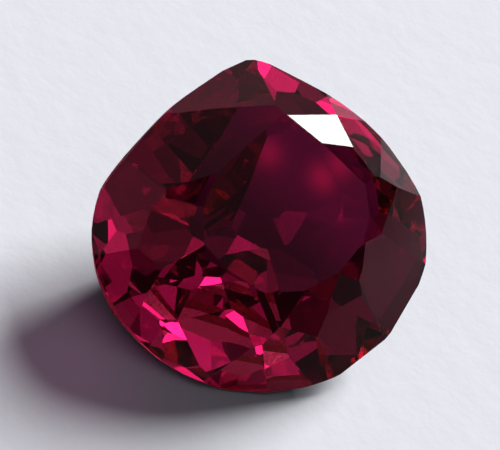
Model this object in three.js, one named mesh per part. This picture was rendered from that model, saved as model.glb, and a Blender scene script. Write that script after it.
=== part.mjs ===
// A loose cut ruby: one transparent red crystal ground and polished to a broad pear shape.
//
// The stone is convex, so it is described the way a cutter's diagram describes it: every flat is a plane
// given by the direction it faces round the stone, its slope from the girdle plane, and its distance
// from the middle of the girdle. The solid is what is left inside all of the planes.
//
// Stone frame while cutting: x across the width, y towards the point of the pear, z out of the table,
// z = 0 in the plane of the upper girdle corners. The finished stone then lies on a pavilion flat.
import * as THREE from "three";

// ---- driving dimensions, in millimetres and degrees ----

const CROWN_HEIGHT = 2.208; // upper girdle corners to table
const GIRDLE_SIDES = 96; // the rounded outline is ground as this many narrow flats

// Girdle outline: the radius at an angle from the point of the pear is the sum of
// GIRDLE_EVEN[k] * cos(k * angle), which is the same on both sides, and
// GIRDLE_ODD[k] * sin(k * angle), the small difference between the left and right sides.
const GIRDLE_EVEN = [5.4014, -1.7797, 0.0082, 0.3159, 0.0801, -0.0081, 0.0128, 0.0355, 0.0165];
const GIRDLE_ODD = [0, 0.053, -0.0106, 0.0118, -0.0119, -0.0049, 0.0142];

// Each row is [azimuth from the point towards +x, slope from the girdle plane, distance from the origin].

// Crown, outermost tier: the break facets, which run from the girdle up to the tips of the stars.
const CROWN_BREAKS = [
  [24.8, 51.5, 2.969], [38.6, 54.9, 3.241], [58.5, 48.6, 3.4],
  [89.5, 39.1, 3.655], [128.5, 37.3, 3.935], [147, 37.2, 4.035],
  [171.8, 41.2, 4.456], [189.7, 45, 4.811], [215.5, 37, 4.055],
  [220.7, 37.4, 4.103], [241.9, 43.2, 4.498], [260.7, 42.5, 4.064],
  [277.4, 43.3, 3.737], [295.9, 49, 3.496], [333.6, 52.5, 2.884],
  [334.9, 52.3, 2.872],
];

// Crown, middle tier: the kite-shaped mains between the breaks and the corners of the table.
const CROWN_KITES = [
  [40.7, 38.6, 2.857], [50.5, 46.8, 3.137], [85.9, 36.8, 3.509],
  [125.7, 36.6, 3.885], [145.9, 34.6, 3.893], [159.5, 30.6, 3.773],
  [204.3, 29.8, 3.783], [220.9, 34.6, 3.888], [232.6, 31.4, 3.737],
  [272.6, 34.9, 3.425], [317.7, 45.1, 2.794], [324.6, 44, 2.7],
];

// Crown, inner tier: the small stars along the edge of the table.
const CROWN_STARS = [
  [45.7, 35.3, 2.868], [108.8, 28.6, 3.519], [135, 31.1, 3.706],
  [157.6, 29, 3.694], [181.6, 21.9, 3.436], [215, 29.8, 3.704],
  [228.9, 29.6, 3.658], [299.3, 33.4, 3.007], [320.8, 43.4, 2.747],
];

// Pavilion tiers, from the girdle down to the culet. Their slopes are measured from the girdle plane too.
const PAVILION_UPPER = [
  [13.59, 35.04, 2.471], [27.59, 28.99, 2.447], [51.54, 35.75, 2.67],
  [59.58, 29.47, 2.738], [101.45, 43.92, 4.472], [150.21, 30.98, 3.635],
  [182.88, 34.12, 3.957], [207.97, 41.48, 4.62], [210.21, 34.25, 4.006],
  [277.9, 38.58, 3.72], [326.04, 33.07, 2.131],
];

const PAVILION_LOWER = [
  [34.03, 35.06, 2.566], [35.72, 17.96, 2.343], [42.03, 20.74, 2.292],
  [73.24, 36.53, 3.27], [123.14, 29.57, 3.409], [190, 29.82, 3.62],
  [204.23, 17.71, 3.412], [204.75, 36.98, 4.25], [221.68, 36.23, 4.149],
  [223.36, 27.44, 3.63], [248.99, 19.38, 3.233], [254.59, 37.94, 4.135],
  [255.32, 33.64, 3.792], [258.25, 39.11, 4.158], [269.61, 42.76, 4.182],
  [313.61, 32.37, 2.545], [347.53, 37.87, 2.529],
];

// The pavilion flat that the stone lies on, and how far the stone is then turned about the vertical.
const REST_FLAT = PAVILION_LOWER[5];
const REST_TURN = 43.58;

const RUBY_COLOUR = 0x7d0a2a;

// ---- the planes ----

const rad = THREE.MathUtils.degToRad;

// A half-space {n, d}: the points p with n . p <= d are inside. side is +1 above the girdle, -1 below.
function flat([azimuth, slope, distance], side) {
  const a = rad(azimuth);
  const s = rad(slope);
  const n = new THREE.Vector3(
    Math.sin(s) * Math.sin(a),
    Math.sin(s) * Math.cos(a),
    side * Math.cos(s),
  );
  return { n, d: distance };
}

function girdleFlats() {
  const corner = [];
  for (let i = 0; i < GIRDLE_SIDES; i++) {
    const t = (i / GIRDLE_SIDES) * 2 * Math.PI;
    const r =
      GIRDLE_EVEN.reduce((sum, c, k) => sum + c * Math.cos(k * t), 0) +
      GIRDLE_ODD.reduce((sum, c, k) => sum + c * Math.sin(k * t), 0);
    corner.push(new THREE.Vector3(r * Math.sin(t), r * Math.cos(t), 0));
  }
  return corner.map((p, i) => {
    const q = corner[(i + 1) % GIRDLE_SIDES];
    // The corners run clockwise seen from above, so this normal points outwards.
    const n = new THREE.Vector3(-(q.y - p.y), q.x - p.x, 0).normalize();
    return { n, d: n.dot(p) };
  });
}

const planes = [
  { n: new THREE.Vector3(0, 0, 1), d: CROWN_HEIGHT }, // table
  ...[...CROWN_STARS, ...CROWN_KITES, ...CROWN_BREAKS].map((f) => flat(f, 1)),
  ...girdleFlats(),
  ...[...PAVILION_UPPER, ...PAVILION_LOWER].map((f) => flat(f, -1)),
];

// ---- the faces: each plane's own square, trimmed by every other plane ----

function face(plane) {
  const side =
    Math.abs(plane.n.x) < 0.9
      ? new THREE.Vector3(1, 0, 0)
      : new THREE.Vector3(0, 1, 0);
  const u = new THREE.Vector3().crossVectors(side, plane.n).normalize();
  const v = new THREE.Vector3().crossVectors(plane.n, u);
  const reach = 50;
  let loop = [
    [-1, -1],
    [1, -1],
    [1, 1],
    [-1, 1],
  ].map(([a, b]) =>
    plane.n
      .clone()
      .multiplyScalar(plane.d)
      .addScaledVector(u, a * reach)
      .addScaledVector(v, b * reach),
  );
  for (const cut of planes) {
    if (cut === plane) continue;
    const next = [];
    loop.forEach((p, i) => {
      const q = loop[(i + 1) % loop.length];
      const hp = cut.n.dot(p) - cut.d;
      const hq = cut.n.dot(q) - cut.d;
      if (hp <= 0) next.push(p);
      if (hp < 0 !== hq < 0) next.push(p.clone().lerp(q, hp / (hp - hq)));
    });
    loop = next;
    if (loop.length < 3) return [];
  }
  return loop;
}

// Corners that several faces share are made one and the same point, and so are the two ends of an edge
// that is too short to see.
const SAME_POINT = 0.004;
const corners = [];
function shared(p) {
  let i = corners.findIndex((c) => c.distanceTo(p) < SAME_POINT);
  if (i < 0) i = corners.push(p) - 1;
  return i;
}

const position = [];
for (const plane of planes) {
  const loop = face(plane)
    .map(shared)
    .filter((c, i, all) => c !== all[(i + 1) % all.length]);
  for (let i = 1; i + 1 < loop.length; i++)
    for (const c of [loop[0], loop[i], loop[i + 1]])
      position.push(...corners[c].toArray());
}

const geometry = new THREE.BufferGeometry();
geometry.setAttribute(
  "position",
  new THREE.Float32BufferAttribute(position, 3),
);
geometry.computeVertexNormals();

const ruby = new THREE.Mesh(
  geometry,
  new THREE.MeshStandardMaterial({
    color: RUBY_COLOUR,
    roughness: 0.02,
    metalness: 0,
  }),
);
ruby.name = "ruby";

// ---- the stone lies down on its rest flat, with the origin under the middle of it ----

const down = flat(REST_FLAT, -1).n;
const lying = new THREE.Quaternion().setFromUnitVectors(
  down,
  new THREE.Vector3(0, 0, -1),
);
const turned = new THREE.Quaternion().setFromAxisAngle(
  new THREE.Vector3(0, 0, 1),
  rad(REST_TURN),
);
ruby.quaternion.copy(turned).multiply(lying);
ruby.updateMatrixWorld(true);
const box = new THREE.Box3();
for (const c of corners) box.expandByPoint(c.clone().applyMatrix4(ruby.matrixWorld));
ruby.position.set(
  -(box.min.x + box.max.x) / 2,
  -(box.min.y + box.max.y) / 2,
  -box.min.z,
);

const stone = new THREE.Group();
stone.add(ruby);
stone.updateMatrixWorld(true);

export default stone;
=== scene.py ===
"""A loose cut ruby lying on a plain pale floor, in soft studio light.

All lengths are in metres, in the same frame as the solid model: +Z up, origin on the floor.
"""

import math

import bpy
from mathutils import Matrix, Vector

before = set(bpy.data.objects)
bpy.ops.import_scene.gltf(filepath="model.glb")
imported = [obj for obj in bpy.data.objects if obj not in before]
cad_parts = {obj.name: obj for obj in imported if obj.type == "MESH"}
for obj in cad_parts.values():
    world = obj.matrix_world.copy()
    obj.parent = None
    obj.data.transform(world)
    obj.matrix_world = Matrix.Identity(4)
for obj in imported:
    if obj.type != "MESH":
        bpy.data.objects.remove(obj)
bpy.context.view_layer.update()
scene = bpy.context.scene
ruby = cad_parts["ruby"]

MM = 0.001

# ---------------------------------------------------------------- camera
# Where it looks, and its own right, up and forward directions.
CAM_AIM = Vector((-0.000557, 0.0001347, 0.0027753))
CAM_RIGHT = Vector((0.831774, 0.419814, 0.363191))
CAM_UP = Vector((-0.555114, 0.629043, 0.5442))
CAM_FORWARD = Vector((0.0, 0.654264, -0.756266))
CAM_DISTANCE = 300 * MM
CAM_WIDTH = 16.5309 * MM  # what the frame takes in at the stone

cam_data = bpy.data.cameras.new("camera")
cam_data.sensor_width = 36.0
cam_data.lens = 36.0 * CAM_DISTANCE / CAM_WIDTH
cam_data.clip_start = 0.005
cam_data.clip_end = 5.0
camera = bpy.data.objects.new("camera", cam_data)
place = CAM_AIM - CAM_FORWARD * CAM_DISTANCE
basis = Matrix((CAM_RIGHT, CAM_UP, -CAM_FORWARD)).transposed()
camera.matrix_world = Matrix.Translation(place) @ basis.to_4x4()
scene.collection.objects.link(camera)
scene.camera = camera


# ---------------------------------------------------------------- small helpers for node trees
class Tree:
    """A node tree that is written from top to bottom."""

    def __init__(self, owner):
        owner.use_nodes = True
        self.tree = owner.node_tree
        self.tree.nodes.clear()

    def add(self, kind, out=0, **given):
        """Adds a node. A given value is set, and a given socket is linked. Returns one output."""
        n = self.tree.nodes.new(kind)
        for key, value in given.items():
            if key.startswith("set_"):
                setattr(n, key[4:], value)
        for key, value in given.items():
            if key.startswith("set_"):
                continue
            sock = n.inputs[int(key[1:])] if key[0] == "i" and key[1:].isdigit() else n.inputs[key.replace("_", " ")]
            if isinstance(value, bpy.types.NodeSocket):
                self.tree.links.new(value, sock)
            else:
                sock.default_value = value
        return n.outputs[out] if len(n.outputs) else n

    def math(self, op, a, b=0.0, clamp=False):
        return self.add("ShaderNodeMath", set_operation=op, set_use_clamp=clamp, i0=a, i1=b)

    def ramp(self, x, lo, hi, to_lo=0.0, to_hi=1.0):
        """A smooth step of x from lo to hi."""
        return self.add(
            "ShaderNodeMapRange",
            set_interpolation_type="SMOOTHSTEP",
            Value=x,
            From_Min=lo,
            From_Max=hi,
            To_Min=to_lo,
            To_Max=to_hi,
        )


# ---------------------------------------------------------------- the stone
RUBY_TINT = (0.30, 0.005, 0.095, 1.0)  # what two passes through the surface leave
RUBY_THROUGH = (0.70, 0.40, 0.10, 1.0)  # absorption colour of the body
RUBY_DENSITY = 100.0  # absorption for each metre
TABLE_FACING = (0.2750, -0.4143, 0.8676)


def ruby_material():
    mat = bpy.data.materials.new("ruby")
    t = Tree(mat)
    out = t.add("ShaderNodeOutputMaterial")
    where = t.add("ShaderNodeTexCoord", out=3)
    # Polishing leaves each facet true, with the faintest waviness and fine laps.
    wave = t.add("ShaderNodeTexNoise", Vector=where, Scale=260.0, Detail=2.0, Roughness=0.45)
    lap = t.add("ShaderNodeTexNoise", Vector=where, Scale=5200.0, Detail=3.0, Roughness=0.6)
    # The girdle is ground, not polished: a thin frosted band square to the table.
    facing = t.add("ShaderNodeTexCoord", out=1)
    square = t.add("ShaderNodeVectorMath", out=1, set_operation="DOT_PRODUCT", i0=facing, i1=TABLE_FACING)
    girdle = t.ramp(t.math("ABSOLUTE", square), 0.10, 0.16, 1.0, 0.0)
    grit = t.add("ShaderNodeTexNoise", Vector=where, Scale=9000.0, Detail=2.0, Roughness=0.6)
    ground = t.ramp(grit, 0.3, 0.7, 0.26, 0.42)
    polished = t.ramp(lap, 0.45, 0.80, 0.0, 0.020)
    rough = t.add("ShaderNodeMix", set_data_type="FLOAT", Factor=girdle, i2=polished, i3=ground)
    tint = t.add("ShaderNodeMix", set_data_type="RGBA", out=2, Factor=girdle, i6=RUBY_TINT, i7=(0.62, 0.10, 0.17, 1))
    height = t.math("ADD", wave, t.math("MULTIPLY", t.math("MULTIPLY", grit, girdle), 3.0))
    bump = t.add("ShaderNodeBump", Strength=0.012, Distance=0.0004, Height=height)
    shader = t.add(
        "ShaderNodeBsdfPrincipled",
        IOR=1.77,
        Transmission_Weight=1.0,
        Base_Color=tint,
        Roughness=rough,
        Normal=bump,
    )
    absorb = t.add("ShaderNodeVolumeAbsorption", Color=RUBY_THROUGH, Density=RUBY_DENSITY)
    t.tree.links.new(shader, out.inputs["Surface"])
    t.tree.links.new(absorb, out.inputs["Volume"])
    return mat


ruby.data.materials.clear()
ruby.data.materials.append(ruby_material())
for p in ruby.data.polygons:
    p.use_smooth = False


# ---------------------------------------------------------------- floor
# Painted spots of light, glowing on the floor under the stone and seen only through it: x and y in mm, how far each
# spreads, strength.
PAINTED_LIGHT_SPOTS = [
    (0, 4.5, 0.35, 0.79),
    (-4, -3, 0.6, 3),
    (-2, 4, 0.35, 0.64),
    (0, -4, 0.6, 0.74),
    (4, -1, 0.6, 0.99),
    (-0.5, -2, 0.6, 0.75),
    (-1.5, -3, 0.6, 1.08),
]


def floor_material():
    """Pale card. The stone is given a dimmer floor than the camera is: painted shade in what its facets mirror, and a
    painted glow with painted shadow and spots of light in what it sees through itself.
    """
    mat = bpy.data.materials.new("floor")
    t = Tree(mat)
    out = t.add("ShaderNodeOutputMaterial")
    path = t.tree.nodes.new("ShaderNodeLightPath")
    where = t.add("ShaderNodeTexCoord", out=3)
    grain = t.add("ShaderNodeTexNoise", Vector=where, Scale=900.0, Detail=4.0, Roughness=0.6)
    pale = t.add("ShaderNodeMix", set_data_type="RGBA", out=2, Factor=grain, i6=(0.80, 0.82, 0.875, 1), i7=(0.83, 0.85, 0.90, 1))
    split = t.tree.nodes.new("ShaderNodeSeparateXYZ")
    t.tree.links.new(where, split.inputs[0])
    x, y = split.outputs[0], split.outputs[1]
    # painted shade in what the facets mirror: the floor is painted darker at the front, at the +x side and far back,
    # brightest straight behind the stone
    side = t.ramp(x, 0.012, 0.045, 1.0, 0.40)
    back = t.ramp(y, -0.005, 0.025, 0.12, 0.9)
    far = t.ramp(y, 0.030, 0.080, 1.0, 0.28)
    painted_mirror_shade = t.math("MULTIPLY", t.math("MULTIPLY", t.math("MULTIPLY", side, back), far), 0.48)
    plain = t.math("MAXIMUM", path.outputs["Is Camera Ray"], path.outputs["Is Diffuse Ray"])
    k = t.add("ShaderNodeMix", set_data_type="FLOAT", Factor=plain, i2=painted_mirror_shade, i3=1.0)
    shade = t.add("ShaderNodeVectorMath", set_operation="SCALE", i0=pale, Scale=k)
    bump = t.add("ShaderNodeBump", Strength=0.10, Distance=0.0002, Height=grain)
    card = t.add("ShaderNodeBsdfPrincipled", Base_Color=shade, Roughness=0.7, Normal=bump)
    card.node.inputs["Specular IOR Level"].default_value = 0.2
    # Through the stone the floor is a painted glow: painted shadow, dim under its front, lighter under its back, with
    # painted spots of light where it would throw them.
    painted_shadow_rise = t.ramp(y, 1.2 * MM, 4.4 * MM, 0.30, 1.10)
    reach = t.add("ShaderNodeVectorMath", out=1, set_operation="DISTANCE", i0=where, i1=(0, 1 * MM, 0))
    painted_shadow_mask = t.ramp(reach, 5 * MM, 9 * MM, 1.0, 0.0)
    painted_shade_level = t.add("ShaderNodeMix", set_data_type="FLOAT", Factor=painted_shadow_mask, i2=1.0, i3=painted_shadow_rise)
    painted_glow_strength = t.math("MULTIPLY", painted_shade_level, 0.26)
    painted_spots = 0.0
    for sx, sy, spread, strength in PAINTED_LIGHT_SPOTS:
        off = t.add("ShaderNodeVectorMath", out=1, set_operation="DISTANCE", i0=where, i1=(sx * MM, sy * MM, 0))
        fall = t.math("POWER", t.math("DIVIDE", off, spread * MM), 2.0)
        painted_spots = t.math("ADD", painted_spots, t.math("MULTIPLY", t.math("EXPONENT", t.math("MULTIPLY", fall, -0.5)), strength))
    painted_floor_glow = t.add("ShaderNodeEmission", Color=pale, Strength=painted_glow_strength)
    # the painted spots of light glow warm on the floor
    painted_spot_glow = t.add("ShaderNodeEmission", Color=(0.85, 0.60, 0.34, 1), Strength=painted_spots)
    painted_through_light = t.tree.nodes.new("ShaderNodeAddShader")
    t.tree.links.new(painted_floor_glow, painted_through_light.inputs[0])
    t.tree.links.new(painted_spot_glow, painted_through_light.inputs[1])
    # rays through the stone see the painted glow and painted shadow, not the lit card
    both = t.tree.nodes.new("ShaderNodeMixShader")
    t.tree.links.new(path.outputs["Is Transmission Ray"], both.inputs[0])
    t.tree.links.new(card, both.inputs[1])
    t.tree.links.new(painted_through_light.outputs[0], both.inputs[2])
    t.tree.links.new(both.outputs[0], out.inputs["Surface"])
    return mat


floor_mesh = bpy.data.meshes.new("floor")
half = 600 * MM
floor_mesh.from_pydata(
    [(-half, -half, 0), (half, -half, 0), (half, half, 0), (-half, half, 0)],
    [],
    [(0, 1, 2, 3)],
)
floor = bpy.data.objects.new("floor", floor_mesh)
floor.location.z = -0.00002
scene.collection.objects.link(floor)
floor.data.materials.append(floor_material())


# ---------------------------------------------------------------- lights
AIM = Vector((0, 0, 3 * MM))


def towards(azimuth, elevation):
    """A direction: azimuth from +Y towards +X, elevation above the floor, in degrees."""
    a, e = math.radians(azimuth), math.radians(elevation)
    return Vector((math.cos(e) * math.sin(a), math.cos(e) * math.cos(a), math.sin(e)))


def lamp(name, azimuth, elevation, radius, radiance, colour=(1, 1, 1), distance=0.4, seen_by="glossy"):
    """A round flat lamp that faces the stone. Its radius is an angle, and its radiance has a white wall at 1."""
    size = 2 * distance * math.tan(math.radians(radius))
    data = bpy.data.lights.new(name, "AREA")
    data.shape = "DISK"
    data.size = size
    data.energy = radiance * math.pi * math.pi * size * size / 4
    data.color = colour
    data.cycles.max_bounces = 64
    obj = bpy.data.objects.new(name, data)
    at = AIM + towards(azimuth, elevation) * distance
    obj.location = at
    obj.rotation_euler = (AIM - at).to_track_quat("-Z", "Y").to_euler()
    obj.visible_camera = False
    obj.visible_diffuse = "diffuse" in seen_by
    obj.visible_glossy = "glossy" in seen_by
    obj.visible_transmission = "transmission" in seen_by
    scene.collection.objects.link(obj)
    return obj


# The window behind the stone lights the floor and throws the shadow towards the camera.
lamp("window", 12.5, 28, 13, 38.5, (1.0, 0.985, 0.99), 2.0, "diffuse")
lamp("overhead", 60, 72, 30, 0.12, (0.95, 0.97, 1.0), 2.0, "diffuse")
# What the window sends through the stone: a dim magenta pool in its own shadow.
pool = lamp("pool", 0, 90, 1, 1.0, (0.95, 0.16, 0.62), 0.4, "diffuse")
pool.location = (-3.0 * MM, -7.0 * MM, 4.6 * MM)
pool.rotation_euler = (0, 0, 0)
pool.data.size = 3.0 * MM
pool.data.energy = 0.0000110
pool.data.spread = math.radians(150)
# The one lamp that a facet of the crown mirrors straight to the camera.
lamp("glare", 14.8, 16.5, 3.2, 11.0, (1.0, 0.985, 0.96), 0.4, "glossy")
# Soft cards that the left and the table mirror faintly.
lamp("card_left", -50, 23, 9, 0.16, (1, 1, 1), 0.4, "glossy")
lamp("card_high_left", -73, 38, 12, 0.045, (1, 1, 1), 0.42, "glossy")
lamp("card_front_left", -118, 26, 22, 0.070, (1, 0.97, 1), 0.44, "glossy")
lamp("card_front", -155, 36, 10, 0.035, (1, 0.97, 1), 0.46, "glossy")
lamp("card_back", -3, 4, 6, 0.075, (1, 0.95, 0.97), 0.5, "glossy")
lamp("card_top", 100, 60, 20, 0.035, (1.0, 0.9, 1.0), 0.4, "glossy")

# Small lamps round the stone, which flash from its back facets:
# azimuth, elevation, angular radius, radiance.
FLASHES = [
    (46, 69, 3.5, 13), (157, 39, 3, 10), (19, 52, 3.5, 6.5), (-137, 65, 3, 7),
    (-143, 70, 3, 6), (140, 50, 3.5, 4.5), (154, 45, 3, 1), (177, 24, 3, 5),
    (-45, 43, 3, 2.5), (-0.5, 10.3, 8, 7), (107.1, 25, 8, 7), (-42.4, 7, 8, 7),
    (-159.8, 6.7, 8, 7), (166.6, 13, 4, 14), (10.1, 6.9, 8, 7), (89.3, 11.9, 4, 14),
    (-144.3, 33.7, 8, 6.73), (21.7, 45.3, 8, 4.59), (158.9, 13.9, 8, 3.97), (148.6, 50.2, 8, 2.04),
    (27.1, 66.3, 4, 11.49), (160.3, 36.8, 4, 10.55), (114.7, 23.9, 8, 1.72), (-166.1, 29.5, 8, 1.67),
    (-4.5, 19.4, 8, 1.57), (156.9, 68.6, 8, 1.16), (-151.2, 48.6, 8, 1.09), (21.4, 14, 8, 1),
    (28, 19.6, 4, 5.62), (167.5, 60.8, 4, 5.38), (75.1, 7.4, 8, 0.91), (61.4, 81.1, 8, 0.82),
    (44.2, 72.2, 4, 4.38), (60.4, 19.9, 8, 0.77), (54.8, 63.3, 8, 0.76), (-122.8, 65, 8, 0.76),
    (62.7, 6.8, 4, 4.01), (46.5, 46.9, 8, 0.7), (96.5, 28.7, 4, 3.91), (-154.8, 37.8, 4, 3.75),
    (-48.2, 12, 8, 0.66), (-57.9, 66.1, 8, 0.64), (168.7, 49.6, 8, 0.63), (101.5, 77.4, 4, 3.49),
    (174.5, 42.6, 8, 0.62), (-18, 25.6, 8, 0.55), (-26.8, 34, 8, 0.55), (-138.1, 69.9, 4, 2.9),
    (-67.4, 59.5, 8, 0.51), (126.7, 44.9, 4, 2.87), (104.4, 69, 4, 2.83), (80.5, 19.5, 4, 2.73),
    (-116.5, 32.1, 8, 0.48), (158.1, 55.1, 4, 2.64), (-176.7, 33.4, 8, 0.47), (-179.9, 7.1, 8, 0.45),
    (1.6, 45.8, 8, 0.43), (-130, 39.2, 4, 2.25), (177, 67.7, 8, 0.38), (176.7, 27.1, 4, 2.13),
    (-90.3, 65.6, 4, 2.02), (-8.1, 11.2, 4, 1.84), (136.2, 49.3, 4, 1.83), (-33.8, 49, 8, 0.33),
    (-161.1, 80.9, 4, 1.83), (140.7, 18.4, 8, 0.31), (-168.4, 45.5, 4, 1.76), (144.3, 26.9, 4, 1.69),
    (-33.1, 69.1, 4, 1.64), (-156.2, 14.7, 4, 1.62), (30.2, 6.6, 8, 0.27), (-43.2, 44.6, 4, 1.43),
    (83.7, 49.5, 8, 0.24), (-16, 76, 8, 0.24), (82.7, 6.4, 8, 0.24), (162.5, 22.2, 4, 1.33),
    (90.2, 58.8, 4, 1.32), (-84.8, 20.9, 8, 0.22), (42.9, 36.4, 8, 0.22), (50.3, 6.2, 8, 0.21),
    (-53.8, 49.6, 4, 1.14), (143.2, 34.2, 8, 0.21), (122.7, 59.2, 4, 1.11), (-160, 61.2, 4, 1.09),
    (136.9, 69.6, 4, 1.06), (-16.6, 52.3, 4, 1.05), (79.6, 66, 8, 0.17), (44, 28.9, 4, 0.99),
    (37, 42.7, 4, 0.95), (-18.7, 14.7, 8, 0.17), (71, 16.3, 4, 0.92), (176.1, 16.1, 4, 0.91),
    (55.3, 37.1, 4, 0.91), (-24.6, 19.8, 4, 0.88), (-177.1, 57.2, 4, 0.88), (34.5, 25.5, 4, 0.82),
    (-45.7, 27.1, 8, 0.14), (8.8, 82, 4, 0.82), (25.7, 33.9, 8, 0.14), (2.3, 63.6, 4, 0.79),
    (67, 25.7, 4, 0.77), (-54.1, 17, 8, 0.12), (28.2, 53.6, 4, 0.66), (161.4, 29.2, 4, 0.64),
    (45.1, 21.8, 4, 0.63), (-148.6, 13.8, 4, 0.63), (90.6, 34.4, 4, 0.59), (-119.7, 6, 8, 0.09),
    (-10.8, 45, 4, 0.53), (-64.7, 20.5, 8, 0.09), (-61.1, 29.2, 8, 0.09), (42.6, 7.1, 4, 0.49),
    (12.9, 56.9, 4, 0.48), (-117, 55.3, 4, 0.45), (-142.7, 8.8, 4, 0.34), (73.1, 55, 4, 0.3),
    (58.9, 47.8, 4, 0.27), (61.1, 31.3, 4, 0.25), (158.8, 88.4, 4, 0.24), (67.7, 37.8, 4, 0.22),
    (-102.6, 8.1, 4, 0.19), (-110.2, 9.1, 4, 0.17), (116.1, 49.8, 4, 0.15), (154.9, 23.2, 4, 0.12),
    (-94.9, 7.2, 4, 0.11), (100.8, 52.8, 4, 0.11), (92.9, 20.1, 4, 0.1), (78.2, 33.7, 4, 0.08),
    (132.6, 38.4, 4, 0.06),
]
for i, (az, el, radius, radiance) in enumerate(FLASHES):
    lamp("flash_%02d" % i, az, el, radius, radiance, (1.0, 0.97, 0.97), 0.4, "transmission")


def studio_world():
    world = bpy.data.worlds.new("studio")
    t = Tree(world)
    out = t.add("ShaderNodeOutputWorld")
    path = t.tree.nodes.new("ShaderNodeLightPath")
    k = t.add("ShaderNodeMix", set_data_type="FLOAT", Factor=path.outputs["Is Transmission Ray"], i2=0.008, i3=0.04)
    k = t.add("ShaderNodeMix", set_data_type="FLOAT", Factor=path.outputs["Is Diffuse Ray"], i2=k, i3=0.044)
    k = t.add("ShaderNodeMix", set_data_type="FLOAT", Factor=path.outputs["Is Camera Ray"], i2=k, i3=0.80)
    sky = t.add("ShaderNodeBackground", Color=(0.93, 0.95, 1.0, 1.0), Strength=k)
    t.tree.links.new(sky, out.inputs["Surface"])
    return world


scene.world = studio_world()

scene.view_settings.view_transform = "Standard"
scene.view_settings.look = "None"
scene.cycles.max_bounces = 24
scene.cycles.glossy_bounces = 20
scene.cycles.transmission_bounces = 20
scene.cycles.blur_glossy = 0.0
scene.cycles.caustics_refractive = False
